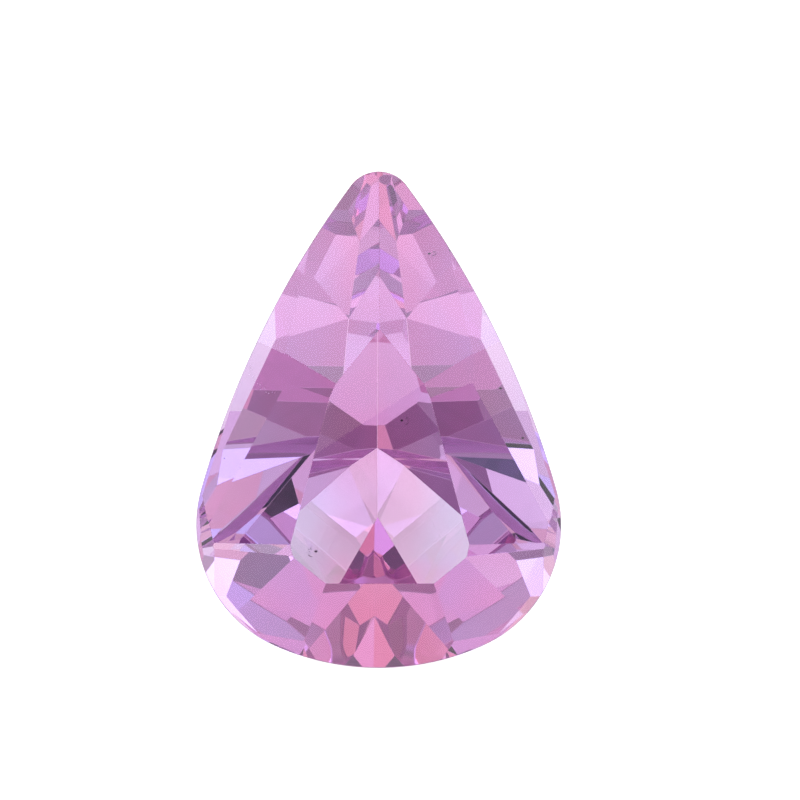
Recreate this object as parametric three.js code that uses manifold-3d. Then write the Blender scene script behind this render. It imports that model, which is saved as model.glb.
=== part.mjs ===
// A loose pear cut kunzite, ground and polished from one crystal.
//
// The stone is described as a cutter would: a blank with the pear outline is
// sawn first, then every facet is one flat cut into it.  For the cutting, +Z
// points out of the table and +Y towards the stone's point.  At the end the
// stone is tipped back onto the pavilion facet at its round end, which is how
// it lies when it is put down, with its table facing forwards and upwards.
//
// Millimetres and degrees.  +Z is up.  The origin is on the surface that the
// stone rests on, under the middle of its bounding box.

import * as THREE from 'three';
import { mergeVertices } from 'three/addons/utils/BufferGeometryUtils.js';
import Module from 'manifold-3d';

// ---- Driving dimensions ---------------------------------------------------

const STONE_LENGTH = 20.4;
const STONE_WIDTH = 15;
const GIRDLE_THICKNESS = 0.38;
const TABLE_HEIGHT = 2.5;
const RESTING_SLOPE = 40;

// The outline runs from the middle of the round end to the point through four
// tangent arcs.  The turns say where one arc hands over to the next.
const BASE_RADIUS = 10.5;
const BASE_TURN = -66;
const BELLY_TURN = 16;
const SIDE_TURN = 36.5;
const BASE_TO_AXIS = 5.6;
const ARC_STEPS = 12;

// The blank is deep enough for the whole pavilion and crown.
const BLANK_BELOW = 9;
const BLANK_ABOVE = 4;

// ---- Cutting recipe -------------------------------------------------------

// An azimuth is the way a facet faces around the girdle: -90 is the round end,
// 0 the right flank and 90 the point.  All of them are stops of a 120 tooth
// index wheel, 3 degrees apart.  A slope is measured from the girdle plane, and
// every facet off the centre line is cut on both flanks.  A standoff is how far
// outside the outline a facet comes down to the girdle.

// Star facets: table is the distance from the axis to the table edge they leave.
const STAR_SLOPE = 27;
const STARS = [
  { azimuth: -84, table: 2.5 },
  { azimuth: -12, table: 3.7 },
  { azimuth: 15, table: 3.4 },
  { azimuth: 24, table: 4.1 },
  { azimuth: 39, table: 5.2 },
];

// Crown mains: the one at the point is the steepest.
const CROWN_MAIN_STANDOFF = 0.1;
const CROWN_MAIN_AZIMUTHS = [-90, -51, -36, 18, 33];
const CROWN_MAIN_SLOPE = 33;
const POINT_MAIN_SLOPE = 39;

const UPPER_GIRDLE_AZIMUTHS = [-63, -51, -21, 0, 6, 18, 42, 66];
const UPPER_GIRDLE_SLOPE = 47;

// Pavilion mains: the stone rests on the one at the round end, which meets the
// outline.  The others stand off from it.
const PAVILION_MAIN_STANDOFF = 0.5;
const PAVILION_MAINS = [
  { azimuth: -72, slope: 48 },
  { azimuth: -63, slope: 36 },
  { azimuth: -51, slope: 45 },
  { azimuth: -21, slope: 43 },
  { azimuth: 0, slope: 42 },
  { azimuth: 18, slope: 45.5 },
  { azimuth: 30, slope: 49 },
  { azimuth: 63, slope: 44.5 },
];

// Lower girdle facets: they steepen evenly from the round end to the point.
const LOWER_GIRDLE_STANDOFF = 0.1;
const LOWER_GIRDLE_AZIMUTHS = [-66, -51, -3, 15, 21, 51, 90];
const ROUND_END_SLOPE = 50;
const POINT_SLOPE = 56;

// ---- Outline --------------------------------------------------------------

const radians = THREE.MathUtils.degToRad;
const cosine = (degrees) => Math.cos(radians(degrees));
const sine = (degrees) => Math.sin(radians(degrees));

// The four arcs of the right flank, from the round end to the point.  The
// belly radius follows from the width.  The side and tip radii are the pair
// that closes the outline on the centre line at the stated length.
function outlineArcs() {
  const baseEnd = new THREE.Vector2(
    BASE_RADIUS * cosine(BASE_TURN),
    BASE_RADIUS * (1 + sine(BASE_TURN)) - BASE_TO_AXIS,
  );
  const bellyRadius = (STONE_WIDTH / 2 - baseEnd.x) / (1 - cosine(BASE_TURN));
  const bellyEnd = new THREE.Vector2(
    baseEnd.x + bellyRadius * (cosine(BELLY_TURN) - cosine(BASE_TURN)),
    baseEnd.y + bellyRadius * (sine(BELLY_TURN) - sine(BASE_TURN)),
  );
  const tipHeight = STONE_LENGTH - BASE_TO_AXIS - bellyEnd.y;
  const tipLean = (1 - sine(SIDE_TURN)) / cosine(SIDE_TURN);
  const sideRise = sine(SIDE_TURN) - sine(BELLY_TURN);
  const sideRun = cosine(BELLY_TURN) - cosine(SIDE_TURN);
  const sideRadius = (tipHeight - tipLean * bellyEnd.x) / (sideRise - tipLean * sideRun);
  const tipRadius = (bellyEnd.x - sideRadius * sideRun) / cosine(SIDE_TURN);

  const radii = [BASE_RADIUS, bellyRadius, sideRadius, tipRadius];
  const turns = [-90, BASE_TURN, BELLY_TURN, SIDE_TURN, 90];
  const arcs = [];
  let x = 0;
  let y = -BASE_TO_AXIS;
  radii.forEach((radius, i) => {
    const [from, to] = [turns[i], turns[i + 1]];
    const centreX = x - radius * cosine(from);
    const centreY = y - radius * sine(from);
    arcs.push({ radius, from, to, centreX, centreY });
    x = centreX + radius * cosine(to);
    y = centreY + radius * sine(to);
  });
  return arcs;
}

const ARCS = outlineArcs();

// How far the outline reaches from the axis in a given direction.
function outlineReach(azimuth) {
  const arc = ARCS.find(({ to }) => azimuth <= to);
  return arc.radius + arc.centreX * cosine(azimuth) + arc.centreY * sine(azimuth);
}

function outlineShape() {
  const shape = new THREE.Shape();
  for (const { radius, from, to, centreX, centreY } of ARCS) {
    shape.absarc(centreX, centreY, radius, radians(from), radians(to), false);
  }
  for (const { radius, from, to, centreX, centreY } of ARCS.toReversed()) {
    shape.absarc(-centreX, centreY, radius, radians(180 - to), radians(180 - from), false);
  }
  return shape;
}

// ---- Facets ---------------------------------------------------------------

// A facet that meets the girdle: standoff is how far outside the outline.
function girdleFacet(azimuth, slope, standoff = 0) {
  return { azimuth, slope, run: outlineReach(azimuth) + standoff, rise: GIRDLE_THICKNESS / 2 };
}

function crownFacets() {
  return [
    ...STARS.map(({ azimuth, table }) => ({ azimuth, slope: STAR_SLOPE, run: table, rise: TABLE_HEIGHT })),
    ...CROWN_MAIN_AZIMUTHS.map((azimuth) => girdleFacet(azimuth, CROWN_MAIN_SLOPE, CROWN_MAIN_STANDOFF)),
    girdleFacet(90, POINT_MAIN_SLOPE, CROWN_MAIN_STANDOFF),
    ...UPPER_GIRDLE_AZIMUTHS.map((azimuth) => girdleFacet(azimuth, UPPER_GIRDLE_SLOPE)),
  ];
}

function pavilionFacets() {
  const lastFacet = LOWER_GIRDLE_AZIMUTHS.length - 1;
  return [
    girdleFacet(-90, RESTING_SLOPE),
    ...PAVILION_MAINS.map(({ azimuth, slope }) => girdleFacet(azimuth, slope, PAVILION_MAIN_STANDOFF)),
    ...LOWER_GIRDLE_AZIMUTHS.map((azimuth, i) => {
      const slope = THREE.MathUtils.lerp(ROUND_END_SLOPE, POINT_SLOPE, i / lastFacet);
      return girdleFacet(azimuth, slope, LOWER_GIRDLE_STANDOFF);
    }),
  ];
}

// ---- Cutting --------------------------------------------------------------

const wasm = await Module();
wasm.setup();

function blank() {
  const prism = new THREE.ExtrudeGeometry(outlineShape(), {
    depth: BLANK_BELOW + BLANK_ABOVE,
    curveSegments: ARC_STEPS,
    bevelEnabled: false,
  });
  prism.translate(0, 0, -BLANK_BELOW);
  prism.deleteAttribute('normal');
  prism.deleteAttribute('uv');
  const welded = mergeVertices(prism);
  return new wasm.Manifold(new wasm.Mesh({
    numProp: 3,
    vertProperties: welded.attributes.position.array,
    triVerts: welded.index.array,
  }));
}

// Grinds off all that lies beyond a plane, given by its outward normal and its
// distance from the origin.
function grind(stone, normal, distance) {
  return stone.trimByPlane(normal.map((part) => -part), -distance);
}

// Cuts one facet, and its twin on the other flank.  side is 1 on the crown and
// -1 on the pavilion.  The facet passes through the point that is run from the
// axis and rise from the girdle plane.
function cutFacet(stone, side, { azimuth, slope, run, rise }) {
  const across = sine(slope) * cosine(azimuth);
  const along = sine(slope) * sine(azimuth);
  const out = side * cosine(slope);
  const distance = sine(slope) * run + cosine(slope) * rise;
  const right = grind(stone, [across, along, out], distance);
  return grind(right, [-across, along, out], distance);
}

function cutStone() {
  const rough = grind(blank(), [0, 0, 1], TABLE_HEIGHT);
  const crowned = crownFacets().reduce((stone, facet) => cutFacet(stone, 1, facet), rough);
  return pavilionFacets().reduce((stone, facet) => cutFacet(stone, -1, facet), crowned);
}

function toGeometry(solid) {
  const { vertProperties, triVerts } = solid.getMesh();
  const geometry = new THREE.BufferGeometry();
  geometry.setAttribute('position', new THREE.Float32BufferAttribute(vertProperties, 3));
  geometry.setIndex(new THREE.Uint32BufferAttribute(triVerts, 1));
  geometry.computeVertexNormals();
  return geometry;
}

// ---- The stone, lying on its resting facet --------------------------------

const kunzite = new THREE.MeshStandardMaterial({
  color: '#c99ad6',
  roughness: 0.02,
  metalness: 0,
  flatShading: true,
});

const gem = new THREE.Mesh(toGeometry(cutStone()), kunzite);
gem.name = 'kunzite_gem';
gem.rotation.x = radians(RESTING_SLOPE);

const extent = new THREE.Box3().setFromObject(gem, true);
gem.position.set(0, -(extent.min.y + extent.max.y) / 2, -extent.min.z);

const part = new THREE.Group();
part.add(gem);

export default part;
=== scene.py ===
"""A loose pear cut kunzite lying on a pale floor in soft studio light."""

import math
import random

import bmesh
import bpy
from mathutils import Matrix, Vector


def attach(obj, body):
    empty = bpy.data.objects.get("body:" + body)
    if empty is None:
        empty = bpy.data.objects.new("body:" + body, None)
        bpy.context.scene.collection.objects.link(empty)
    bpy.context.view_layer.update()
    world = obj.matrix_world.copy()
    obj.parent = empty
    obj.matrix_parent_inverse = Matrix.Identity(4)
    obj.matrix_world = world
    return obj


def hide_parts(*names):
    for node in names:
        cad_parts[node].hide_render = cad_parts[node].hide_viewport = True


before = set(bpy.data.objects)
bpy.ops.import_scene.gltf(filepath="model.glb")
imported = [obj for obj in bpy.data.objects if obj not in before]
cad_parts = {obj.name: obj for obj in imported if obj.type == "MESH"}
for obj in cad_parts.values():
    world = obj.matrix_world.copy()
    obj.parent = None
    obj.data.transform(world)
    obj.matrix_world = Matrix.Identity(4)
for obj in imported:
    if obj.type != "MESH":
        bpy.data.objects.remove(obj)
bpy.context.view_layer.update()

MM = 0.001
GEM = "kunzite_gem"

# How the stone lies: its table leans back by the slope of the facet it rests on.
RESTING_SLOPE = math.radians(40.0)

# Places on the solid: vertices this near to its full width are on the belly
# line, vertices this near to each other are one, and faces that turn by less
# than this angle are one facet.
BELLY_BAND = 0.02 * MM
SAME_VERTEX = 0.003 * MM
FLAT_ANGLE = math.radians(0.3)

# Wear leaves a hair-thin flat along every edge between two facets, and a wider
# one along both edges of the girdle, where the stone is handled most.  Widths
# are in millimetres.  A flat beside the girdle is smaller than this area.
FACET_EDGE_WIDTH = 0.012
GIRDLE_EDGE_WIDTH = 0.06
GIRDLE_EDGE_AREA = 0.2 * MM * MM
SHARP_ANGLE = math.radians(8.0)
CUT_TOLERANCE = 1e-9

# Cosines between face normals: a girdle face stands square to the table, and a
# face of a facet still looks the way that the facet did before the wear.
GIRDLE_COSINE = 0.02
FACET_COSINE = 0.9999

# Finishes, kept on the faces and read by the material.
POLISHED, WORN, GIRDLE = 0.0, 0.5, 1.0

# The picture: 800 pixels square, with the stone's belly line at this pixel.
# The distance and the nearest clipping are in metres, the sensor in millimetres.
PICTURE_SIDE = 800
BELLY_PIXEL = (378.7, 526.0)
PIXELS_PER_MM = 24.33
CAMERA_DISTANCE = 0.5
NEAREST_SEEN = 0.01
SENSOR_WIDTH = 36.0

# The camera looks at the table almost squarely, from a little to the left and
# a little towards the round end.
LEAN_LEFT = math.radians(1.15)
LEAN_DOWN = math.radians(0.85)

# A faceted stone throws light around inside itself many times.
LIGHT_BOUNCES = 24

# The studio: a pale room, a little brighter overhead than at the horizon.
NEUTRAL = (1.0, 1.0, 1.0)
COOL = (0.8, 0.9, 1.12)
WARM = (1.12, 0.86, 0.82)
MAUVE = (1.15, 0.75, 1.1)
ROOM_LIGHT = 0.65
ROOM_TINT = (1.08, 0.92, 1.04)
ROOM_TOP, ROOM_HORIZON = 1.08, 0.92

# The floor glows by itself, so that it is evenly pale.  It lies just below the
# stone, so that the two don't touch.
FLOOR_SIZE = 6.0
FLOOR_GAP = 0.02 * MM
FLOOR_SHADE = (0.3, 0.3, 0.3)
FLOOR_ROUGHNESS = 0.9
FLOOR_GLOW = 0.98

# Panels around the stone, nearest first, with distances in metres and angles in
# degrees.  Azimuth 0 is to the right of the stone, 90 behind it and 270 towards
# the camera.  A panel is brighter in its middle than at its corners.
NEAREST_PANEL = 0.7
PANEL_SPACING = 0.1
PANEL_CENTRE, PANEL_CORNER = 1.2, 0.8
PANELS = [
    # name, azimuth, elevation, half width, half height, brightness, tint
    ("high_left_flag", 205, 60, 5, 5, 0.05, COOL),
    ("high_right_flag", 315, 55, 5, 5, 0.05, COOL),
    ("top_right_flag", 320, 75, 5, 5, 0.05, COOL),
    ("back_right_softbox", 35, 45, 30, 15, 2.6, COOL),
    ("front_left_scrim", 235, 25, 20, 45, 1.2, WARM),
    ("high_left_strip", 215, 70, 25, 5, 1.7, COOL),
    ("back_right_scrim", 60, 50, 42.5, 40, 1.4, NEUTRAL),
    ("right_flag", 335, 35, 10, 15, 0.4, COOL),
    ("front_right_scrim", 315, 40, 45, 15, 1.4, NEUTRAL),
    ("front_right_flag", 310, 35, 45, 22.5, 0.48, MAUVE),
    ("back_left_reflector", 135, 25, 40, 10, 1.1, WARM),
    ("overhead_scrim", 330, 80, 45, 37.5, 1.1, WARM),
    ("camera_side_strip", 270, 25, 42.5, 5, 0.9, NEUTRAL),
    ("back_left_softbox", 140, 25, 22.5, 17.5, 3.2, WARM),
    ("high_back_softbox", 105, 65, 42.5, 20, 2.8, NEUTRAL),
    ("high_left_softbox", 155, 60, 22.5, 25, 2.8, COOL),
    ("overhead_softbox", 110, 85, 17.5, 42.5, 1.9, WARM),
    ("overhead_flag", 285, 80, 20, 42.5, 0.2, COOL),
    ("left_tube", 210, 55, 5, 37.5, 3.5, NEUTRAL),
    ("left_flag", 195, 35, 15, 15, 0.3, COOL),
]

# The panels are cards whose corners are one unit from their middle, where the
# spherical gradient of their glow ends.
CARD_CORNER = math.sqrt(0.5)
CARD_SIGNS = ((1, -1), (-1, -1), (-1, 1), (1, 1))

# Spodumene, and how strongly each metre of it absorbs red, green and blue.  The
# density is what a fully black absorption colour would absorb.
SPODUMENE_IOR = 1.668
ABSORPTION = (28.0, 62.0, 31.0)
ABSORPTION_DENSITY = 80.0

# The skin: a fine, slightly uneven polish.  The worn flats are rougher, and the
# ground girdle is rougher still.  Its grey tint is partly the frosted girdle's own
# grey and partly painted shade, which darkens the outline where the girdle is seen
# edge-on.  Noise scales, here and below, are in blotches per metre.
POLISH_ROUGHNESS = 0.012
POLISH_SCALE = 900.0
GROUND_ROUGHNESS = 0.3
CLEAR = (1.0, 1.0, 1.0)
# Partly the ground girdle's own grey, partly painted shade that darkens the stone's outline.
GIRDLE_GREY_AND_PAINTED_SHADE = (0.3, 0.28, 0.38)
SKIN_TINTS_AND_PAINTED_SHADE = [(0.0, CLEAR), (0.6, CLEAR), (1.0, GIRDLE_GREY_AND_PAINTED_SHADE)]

# The crystal is pinker at both ends and along its middle, and more lilac at its
# flanks.  Along it, 0 is the round end and 1 the point.  Across it, 0 is the
# middle and 1 the flank.  The ends and the flank are in millimetres from the
# belly point.
ROUND_END, POINT = -5.6, 14.8
FLANK = 7.5
ZONE_SCALE = 300.0
ZONE_DRIFT = 0.15
ZONES_ALONG = [
    (0.0, (1.0, 0.82, 0.93)),
    (0.12, (1.0, 0.86, 0.95)),
    (0.25, (0.88, 0.98, 1.0)),
    (0.45, (0.86, 0.96, 1.0)),
    (0.7, (0.92, 0.97, 1.0)),
    (0.85, (1.0, 0.87, 0.9)),
    (1.0, (1.0, 0.73, 0.8)),
]
ZONES_ACROSS = [
    (0.2, (1.0, 0.85, 0.87)),
    (0.35, (0.94, 0.98, 1.0)),
    (1.0, (0.94, 1.0, 1.0)),
]

# Natural flaws, in millimetres along the stone's own axes: across, towards the
# point and out of the table, then how long the flaw is.
DARK_GRAINS = [
    (-2.60, -1.05, 0.9, 0.15),
    (6.02, 1.89, -0.1, 0.06),
    (2.68, 9.50, 0.2, 0.05),
    (-2.66, 7.56, 0.5, 0.05),
]
GRAIN_TONES = [(0.3, (0.008, 0.003, 0.012)), (0.7, (0.05, 0.02, 0.06))]
GRAIN_SCALE = 9000.0
GRAIN_ROUGHNESS = 0.35

# Dust around the left of the largest grain.  Turns are in degrees, counted from
# the right towards the point.
SWARM_CENTRE = (-2.72, -1.10, 0.9)
SWARM_RADIUS = 0.27
SWARM_FROM, SWARM_TO = 100.0, 290.0
SWARM_INNERMOST = 0.5
SWARM_COUNT = 18
DUST_SHORTEST, DUST_LONGEST = 0.03, 0.06

# Pale droplets in a bowed row.
TRAIL_CENTRE = (-3.7, 6.9, 0.1)
TRAIL_RADIUS = 1.6
TRAIL_WOBBLE = 0.08
TRAIL_FROM, TRAIL_TO = 195.0, 260.0
TRAIL_COUNT = 14
DROPLET_SHORTEST, DROPLET_LONGEST = 0.03, 0.07
DROPLET_TONES = [(0.3, (0.75, 0.6, 0.78)), (0.7, (0.95, 0.88, 0.95))]
DROPLET_SCALE = 6000.0
DROPLET_ROUGHNESS = 0.2
DROPLET_MILKINESS = 0.3

# Each flaw is the skin around scattered points, flatter than it is long.
HULL_POINTS = 16
FLAW_WIDTH, FLAW_THICKNESS = 0.7, 0.6
FLAW_SEED = 7


# ---- Places on the stone ---------------------------------------------------


def belly_point():
    """The middle of the stone's widest line, in the lying stone."""
    points = [v.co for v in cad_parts[GEM].data.vertices]
    reach = max(p.x for p in points)
    widest = [p for p in points if p.x > reach - BELLY_BAND]
    middle = sum(widest, Vector()) / len(widest)
    return Vector((0.0, middle.y, middle.z))


BELLY = belly_point()
TILT = Matrix.Rotation(RESTING_SLOPE, 3, "X")
TABLE_NORMAL = TILT @ Vector((0, 0, 1))


def on_stone(x, y, z):
    """A point given in millimetres along the stone's own axes."""
    return BELLY + TILT @ Vector((x, y, z)) * MM


def around(centre, turn, reach):
    """A point on a circle that lies level with the table, given by its turn and radius."""
    x, y, z = centre
    angle = math.radians(turn)
    return on_stone(x + reach * math.cos(angle), y + reach * math.sin(angle), z)


# ---- Nodes -----------------------------------------------------------------


class Material:
    """A new material and short ways to add its nodes."""

    def __init__(self, name):
        self.data = bpy.data.materials.new(name)
        self.data.use_nodes = True
        self.tree = self.data.node_tree
        self.tree.nodes.clear()
        self.output = self.add("OutputMaterial")

    def add(self, kind, **inputs):
        node = self.tree.nodes.new("ShaderNode" + kind)
        for name, value in inputs.items():
            self.set(node, name.replace("_", " "), value)
        return node

    def set(self, node, socket, value):
        """Links or sets an input, which is given by its name or its number."""
        if isinstance(value, bpy.types.NodeSocket):
            self.tree.links.new(value, node.inputs[socket])
        else:
            node.inputs[socket].default_value = value

    def combine(self, kind, operation, first, second):
        node = self.add(kind)
        node.operation = operation
        self.set(node, 0, first)
        self.set(node, 1, second)
        return node

    def math(self, operation, first, second=0.0):
        return self.combine("Math", operation, first, second).outputs["Value"]

    def position(self):
        return self.add("TexCoord").outputs["Object"]

    def reach(self, way):
        """How far the shaded point lies in a direction, in metres."""
        node = self.combine("VectorMath", "DOT_PRODUCT", self.position(), way)
        return node.outputs["Value"]

    def noise(self, scale, detail):
        node = self.add("TexNoise", Vector=self.position(), Scale=scale, Detail=detail)
        return node.outputs["Fac"]

    def stretch(self, value, low, high):
        """Takes a value from 0 to 1 to the range between low and high."""
        return self.math("ADD", self.math("MULTIPLY", value, high - low), low)

    def product(self, first, second):
        """Multiplies two colours."""
        return self.combine("VectorMath", "MULTIPLY", first, second).outputs["Vector"]

    def ramp(self, factor, stops):
        """Blends between colours, each given with its place from 0 to 1."""
        node = self.add("ValToRGB", Fac=factor)
        marks = node.color_ramp.elements
        while len(marks) < len(stops):
            marks.new(1.0)
        for mark, (place, colour) in zip(marks, stops):
            mark.position = place
            mark.color = (*colour, 1)
        return node.outputs["Color"]

    def show(self, shader):
        self.set(self.output, "Surface", shader)


# ---- Materials -------------------------------------------------------------


def place_on(material, axis, start, end):
    """How far along an axis of the stone a point is: 0 at start, 1 at end, in millimetres."""
    way = TILT @ Vector(axis)
    past = material.math("SUBTRACT", material.reach(way), BELLY.dot(way) + start * MM)
    return material.math("DIVIDE", past, (end - start) * MM)


def colour_zones(material):
    """The drift of the body colour along and across the stone, with slow uneven edges."""
    drift = material.stretch(material.noise(ZONE_SCALE, 2.0), -ZONE_DRIFT, ZONE_DRIFT)
    along = place_on(material, (0, 1, 0), ROUND_END, POINT)
    across = material.math("ABSOLUTE", place_on(material, (1, 0, 0), 0, FLANK))
    lengthwise = material.ramp(material.math("ADD", along, drift), ZONES_ALONG)
    crosswise = material.ramp(material.math("ADD", across, drift), ZONES_ACROSS)
    return material.product(lengthwise, crosswise)


def kunzite():
    """Clear spodumene: its body absorbs green most, and its skin has the finish, the zones and a
    painted shade that darkens the girdle.
    """
    material = Material("kunzite")
    attribute = material.add("Attribute")
    attribute.attribute_name = "finish"
    finish = attribute.outputs["Fac"]
    polish = material.math("MULTIPLY", material.noise(POLISH_SCALE, 4.0), POLISH_ROUGHNESS)
    ground = material.math("MULTIPLY", finish, GROUND_ROUGHNESS)
    # The girdle's grey tint is partly painted shade, which darkens the stone's outline.
    skin = material.ramp(finish, SKIN_TINTS_AND_PAINTED_SHADE)
    tint = material.product(skin, colour_zones(material))
    surface = material.add("BsdfPrincipled", Base_Color=tint)
    surface.inputs["IOR"].default_value = SPODUMENE_IOR
    surface.inputs["Transmission Weight"].default_value = 1.0
    material.set(surface, "Roughness", material.math("ADD", polish, ground))
    body = material.add("VolumeAbsorption")
    passed = [1 - part / ABSORPTION_DENSITY for part in ABSORPTION]
    body.inputs["Color"].default_value = (*passed, 1)
    body.inputs["Density"].default_value = ABSORPTION_DENSITY
    material.show(surface.outputs["BSDF"])
    material.set(material.output, "Volume", body.outputs["Volume"])
    return material.data


def dark_mineral():
    """Dark crystals that the kunzite grew around."""
    material = Material("dark_mineral")
    tone = material.ramp(material.noise(GRAIN_SCALE, 3.0), GRAIN_TONES)
    surface = material.add("BsdfPrincipled", Base_Color=tone, Roughness=GRAIN_ROUGHNESS)
    material.show(surface.outputs["BSDF"])
    return material.data


def trapped_liquid():
    """Pale droplets, left behind where a crack in the crystal healed."""
    material = Material("trapped_liquid")
    tone = material.ramp(material.noise(DROPLET_SCALE, 2.0), DROPLET_TONES)
    surface = material.add("BsdfPrincipled", Base_Color=tone, Roughness=DROPLET_ROUGHNESS)
    surface.inputs["Subsurface Weight"].default_value = DROPLET_MILKINESS
    material.show(surface.outputs["BSDF"])
    return material.data


def pale_floor():
    material = Material("pale_floor")
    surface = material.add("BsdfPrincipled", Roughness=FLOOR_ROUGHNESS)
    surface.inputs["Base Color"].default_value = (*FLOOR_SHADE, 1)
    surface.inputs["Specular IOR Level"].default_value = 0.0
    surface.inputs["Emission Color"].default_value = (*NEUTRAL, 1)
    surface.inputs["Emission Strength"].default_value = FLOOR_GLOW
    material.show(surface.outputs["BSDF"])
    return material.data


def glow(name, brightness, tint):
    """Light that is brightest in the middle of its panel, as a softbox is."""
    material = Material(name)
    spread = material.add("TexGradient", Vector=material.position())
    spread.gradient_type = "SPHERICAL"
    edge, middle = brightness * PANEL_CORNER, brightness * PANEL_CENTRE
    light = material.add("Emission", Strength=material.stretch(spread.outputs["Fac"], edge, middle))
    light.inputs["Color"].default_value = (*tint, 1)
    material.show(light.outputs["Emission"])
    return material.data


# ---- The polished stone ----------------------------------------------------


def one_face_per_facet(shape):
    bmesh.ops.remove_doubles(shape, verts=shape.verts, dist=SAME_VERTEX)
    bmesh.ops.dissolve_limit(
        shape, angle_limit=FLAT_ANGLE, verts=shape.verts[:], edges=shape.edges[:]
    )


def is_girdle(face):
    return abs(face.normal.dot(TABLE_NORMAL)) < GIRDLE_COSINE


def worn_flats(shape):
    """The place and the normal of the flat that wear grinds along each sharp edge."""
    for edge in shape.edges:
        angle = edge.calc_face_angle(0)
        if angle > SHARP_ANGLE:
            normal = sum((face.normal for face in edge.link_faces), Vector()).normalized()
            at_girdle = any(is_girdle(face) for face in edge.link_faces)
            width = GIRDLE_EDGE_WIDTH if at_girdle else FACET_EDGE_WIDTH
            depth = width * MM / 2 * math.tan(angle / 2)
            middle = (edge.verts[0].co + edge.verts[1].co) / 2
            yield middle - normal * depth, normal


def grind(shape, place, normal):
    """Takes off all that lies beyond a plane, and closes the cut with a flat face."""
    everything = shape.verts[:] + shape.edges[:] + shape.faces[:]
    cut = bmesh.ops.bisect_plane(
        shape,
        geom=everything,
        dist=CUT_TOLERANCE,
        plane_co=place,
        plane_no=normal,
        clear_outer=True,
    )
    rim = [part for part in cut["geom_cut"] if isinstance(part, bmesh.types.BMEdge)]
    bmesh.ops.holes_fill(shape, edges=rim)


def mark_finishes(shape, facets):
    """Marks each face as polished, worn or part of the girdle, whose worn edges are ground too."""
    finish = shape.faces.layers.float.new("finish")
    shape.faces.index_update()
    girdle = [face for face in shape.faces if is_girdle(face)]
    beside = {other for face in girdle for edge in face.edges for other in edge.link_faces}
    girdle_edges = {face.index for face in beside if face.calc_area() < GIRDLE_EDGE_AREA}
    for face in shape.faces:
        if is_girdle(face) or face.index in girdle_edges:
            face[finish] = GIRDLE
        elif max(face.normal.dot(normal) for normal in facets) > FACET_COSINE:
            face[finish] = POLISHED
        else:
            face[finish] = WORN


def to_object(name, shape, material):
    mesh = bpy.data.meshes.new(name)
    shape.to_mesh(mesh)
    shape.free()
    mesh.materials.append(material)
    made = bpy.data.objects.new(name, mesh)
    bpy.context.collection.objects.link(made)
    return made


def polished_stone():
    """The cut stone, with its worn edges and with its finishes marked on its faces."""
    shape = bmesh.new()
    shape.from_mesh(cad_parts[GEM].data)
    one_face_per_facet(shape)
    facets = [face.normal.copy() for face in shape.faces]
    for place, normal in list(worn_flats(shape)):
        grind(shape, place, normal)
    shape.normal_update()
    mark_finishes(shape, facets)
    for face in shape.faces:
        face.smooth = False
    stone = to_object("polished_stone", shape, kunzite())
    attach(stone, "root")
    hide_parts(GEM)


# ---- Flaws inside the stone ------------------------------------------------


def hull(shape, place, length):
    """Adds one small angular lump: the skin around scattered points."""
    points = []
    for _ in range(HULL_POINTS):
        way = Vector([random.gauss(0, 1) for _ in range(3)]).normalized()
        stretched = Vector((way.x, way.y * FLAW_WIDTH, way.z * FLAW_THICKNESS))
        points.append(shape.verts.new(place + TILT @ stretched * length / 2 * MM))
    skin = bmesh.ops.convex_hull(shape, input=points)
    unused = [part for part in skin["geom_interior"] if isinstance(part, bmesh.types.BMVert)]
    bmesh.ops.delete(shape, geom=unused, context="VERTS")


def flaws(name, lumps, material):
    """One object made of separate lumps, each given by its place and length."""
    shape = bmesh.new()
    for place, length in lumps:
        hull(shape, place, length)
    group = to_object(name, shape, material)
    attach(group, "root")


def swarm():
    """Fine dark dust on the left of the largest grain."""
    for _ in range(SWARM_COUNT):
        turn = random.uniform(SWARM_FROM, SWARM_TO)
        reach = SWARM_RADIUS * random.uniform(SWARM_INNERMOST, 1.0)
        yield around(SWARM_CENTRE, turn, reach), random.uniform(DUST_SHORTEST, DUST_LONGEST)


def trail():
    """A bowed row of droplets."""
    for step in range(TRAIL_COUNT):
        turn = TRAIL_FROM + (TRAIL_TO - TRAIL_FROM) * step / (TRAIL_COUNT - 1)
        reach = TRAIL_RADIUS + random.uniform(-TRAIL_WOBBLE, TRAIL_WOBBLE)
        yield around(TRAIL_CENTRE, turn, reach), random.uniform(DROPLET_SHORTEST, DROPLET_LONGEST)


def natural_flaws():
    random.seed(FLAW_SEED)
    grains = [(on_stone(x, y, z), length) for x, y, z, length in DARK_GRAINS]
    flaws("dark_grains", grains + list(swarm()), dark_mineral())
    flaws("healed_crack", list(trail()), trapped_liquid())


# ---- Stage -----------------------------------------------------------------


def floor():
    bpy.ops.mesh.primitive_plane_add(size=FLOOR_SIZE, location=(0, 0, -FLOOR_GAP))
    plane = bpy.context.object
    plane.name = "floor"
    plane.data.materials.append(pale_floor())


def surroundings():
    """A pale room, a little brighter overhead than at the horizon."""
    world = bpy.data.worlds.new("studio")
    world.use_nodes = True
    tree = world.node_tree
    background = tree.nodes["Background"]
    background.inputs["Color"].default_value = (*ROOM_TINT, 1)
    way = tree.nodes.new("ShaderNodeTexCoord")
    parts = tree.nodes.new("ShaderNodeSeparateXYZ")
    height = tree.nodes.new("ShaderNodeMapRange")
    height.inputs["To Min"].default_value = ROOM_LIGHT * ROOM_HORIZON
    height.inputs["To Max"].default_value = ROOM_LIGHT * ROOM_TOP
    tree.links.new(way.outputs["Generated"], parts.inputs["Vector"])
    tree.links.new(parts.outputs["Z"], height.inputs["Value"])
    tree.links.new(height.outputs["Result"], background.inputs["Strength"])
    bpy.context.scene.world = world


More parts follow.
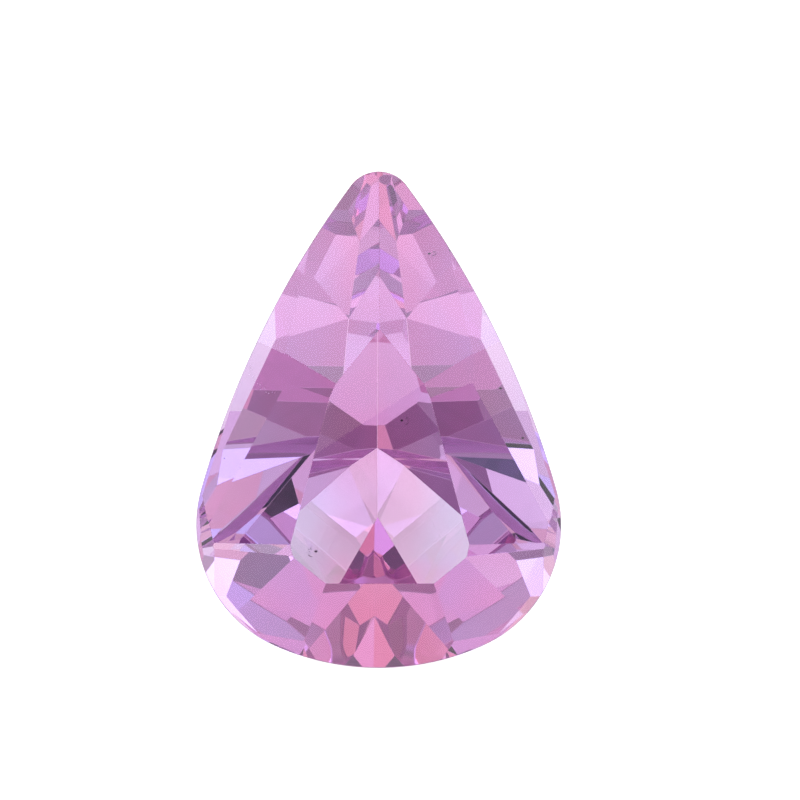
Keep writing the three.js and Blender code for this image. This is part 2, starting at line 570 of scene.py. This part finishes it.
def panel(name, azimuth, elevation, half_width, half_height, brightness, tint, distance):
    """A soft panel that faces the stone; its half sizes are angles seen from the stone."""
    swing = Matrix.Rotation(math.radians(azimuth), 3, "Z")
    raised = Matrix.Rotation(-math.radians(elevation), 3, "Y")
    turned = swing @ raised
    wide = distance * math.tan(math.radians(half_width))
    high = distance * math.tan(math.radians(half_height))
    mesh = bpy.data.meshes.new(name)
    corners = [(0, y * CARD_CORNER, z * CARD_CORNER) for y, z in CARD_SIGNS]
    mesh.from_pydata(corners, [], [(0, 1, 2, 3)])
    mesh.materials.append(glow(name, brightness, tint))
    card = bpy.data.objects.new(name, mesh)
    card.location = BELLY + turned @ Vector((distance, 0, 0))
    card.rotation_euler = turned.to_euler()
    card.scale = (1, wide / CARD_CORNER, high / CARD_CORNER)
    card.visible_camera = False
    card.visible_shadow = False
    bpy.context.collection.objects.link(card)


def studio_panels():
    for place, (name, *shape) in enumerate(PANELS):
        panel(name, *shape, distance=NEAREST_PANEL + place * PANEL_SPACING)


def camera():
    data = bpy.data.cameras.new("camera")
    data.sensor_width = SENSOR_WIDTH
    view_width = PICTURE_SIDE / PIXELS_PER_MM * MM
    data.lens = SENSOR_WIDTH * CAMERA_DISTANCE / view_width
    data.clip_start = NEAREST_SEEN
    viewer = bpy.data.objects.new("camera", data)
    bpy.context.collection.objects.link(viewer)
    turn = TILT @ Matrix.Rotation(-LEAN_LEFT, 3, "Y") @ Matrix.Rotation(LEAN_DOWN, 3, "X")
    across = (PICTURE_SIDE / 2 - BELLY_PIXEL[0]) / PIXELS_PER_MM
    up = (BELLY_PIXEL[1] - PICTURE_SIDE / 2) / PIXELS_PER_MM
    place = BELLY + turn @ Vector((across * MM, up * MM, CAMERA_DISTANCE))
    viewer.matrix_world = Matrix.Translation(place) @ turn.to_4x4()
    bpy.context.scene.camera = viewer


def light_paths():
    cycles = bpy.context.scene.cycles
    cycles.max_bounces = LIGHT_BOUNCES
    cycles.glossy_bounces = LIGHT_BOUNCES
    cycles.transmission_bounces = LIGHT_BOUNCES


def plain_colours():
    """Shows the colours as they are, without a film curve."""
    bpy.context.scene.view_settings.view_transform = "Standard"


# ---- The scene -------------------------------------------------------------

polished_stone()
natural_flaws()
floor()
surroundings()
studio_panels()
camera()
light_paths()
plain_colours()
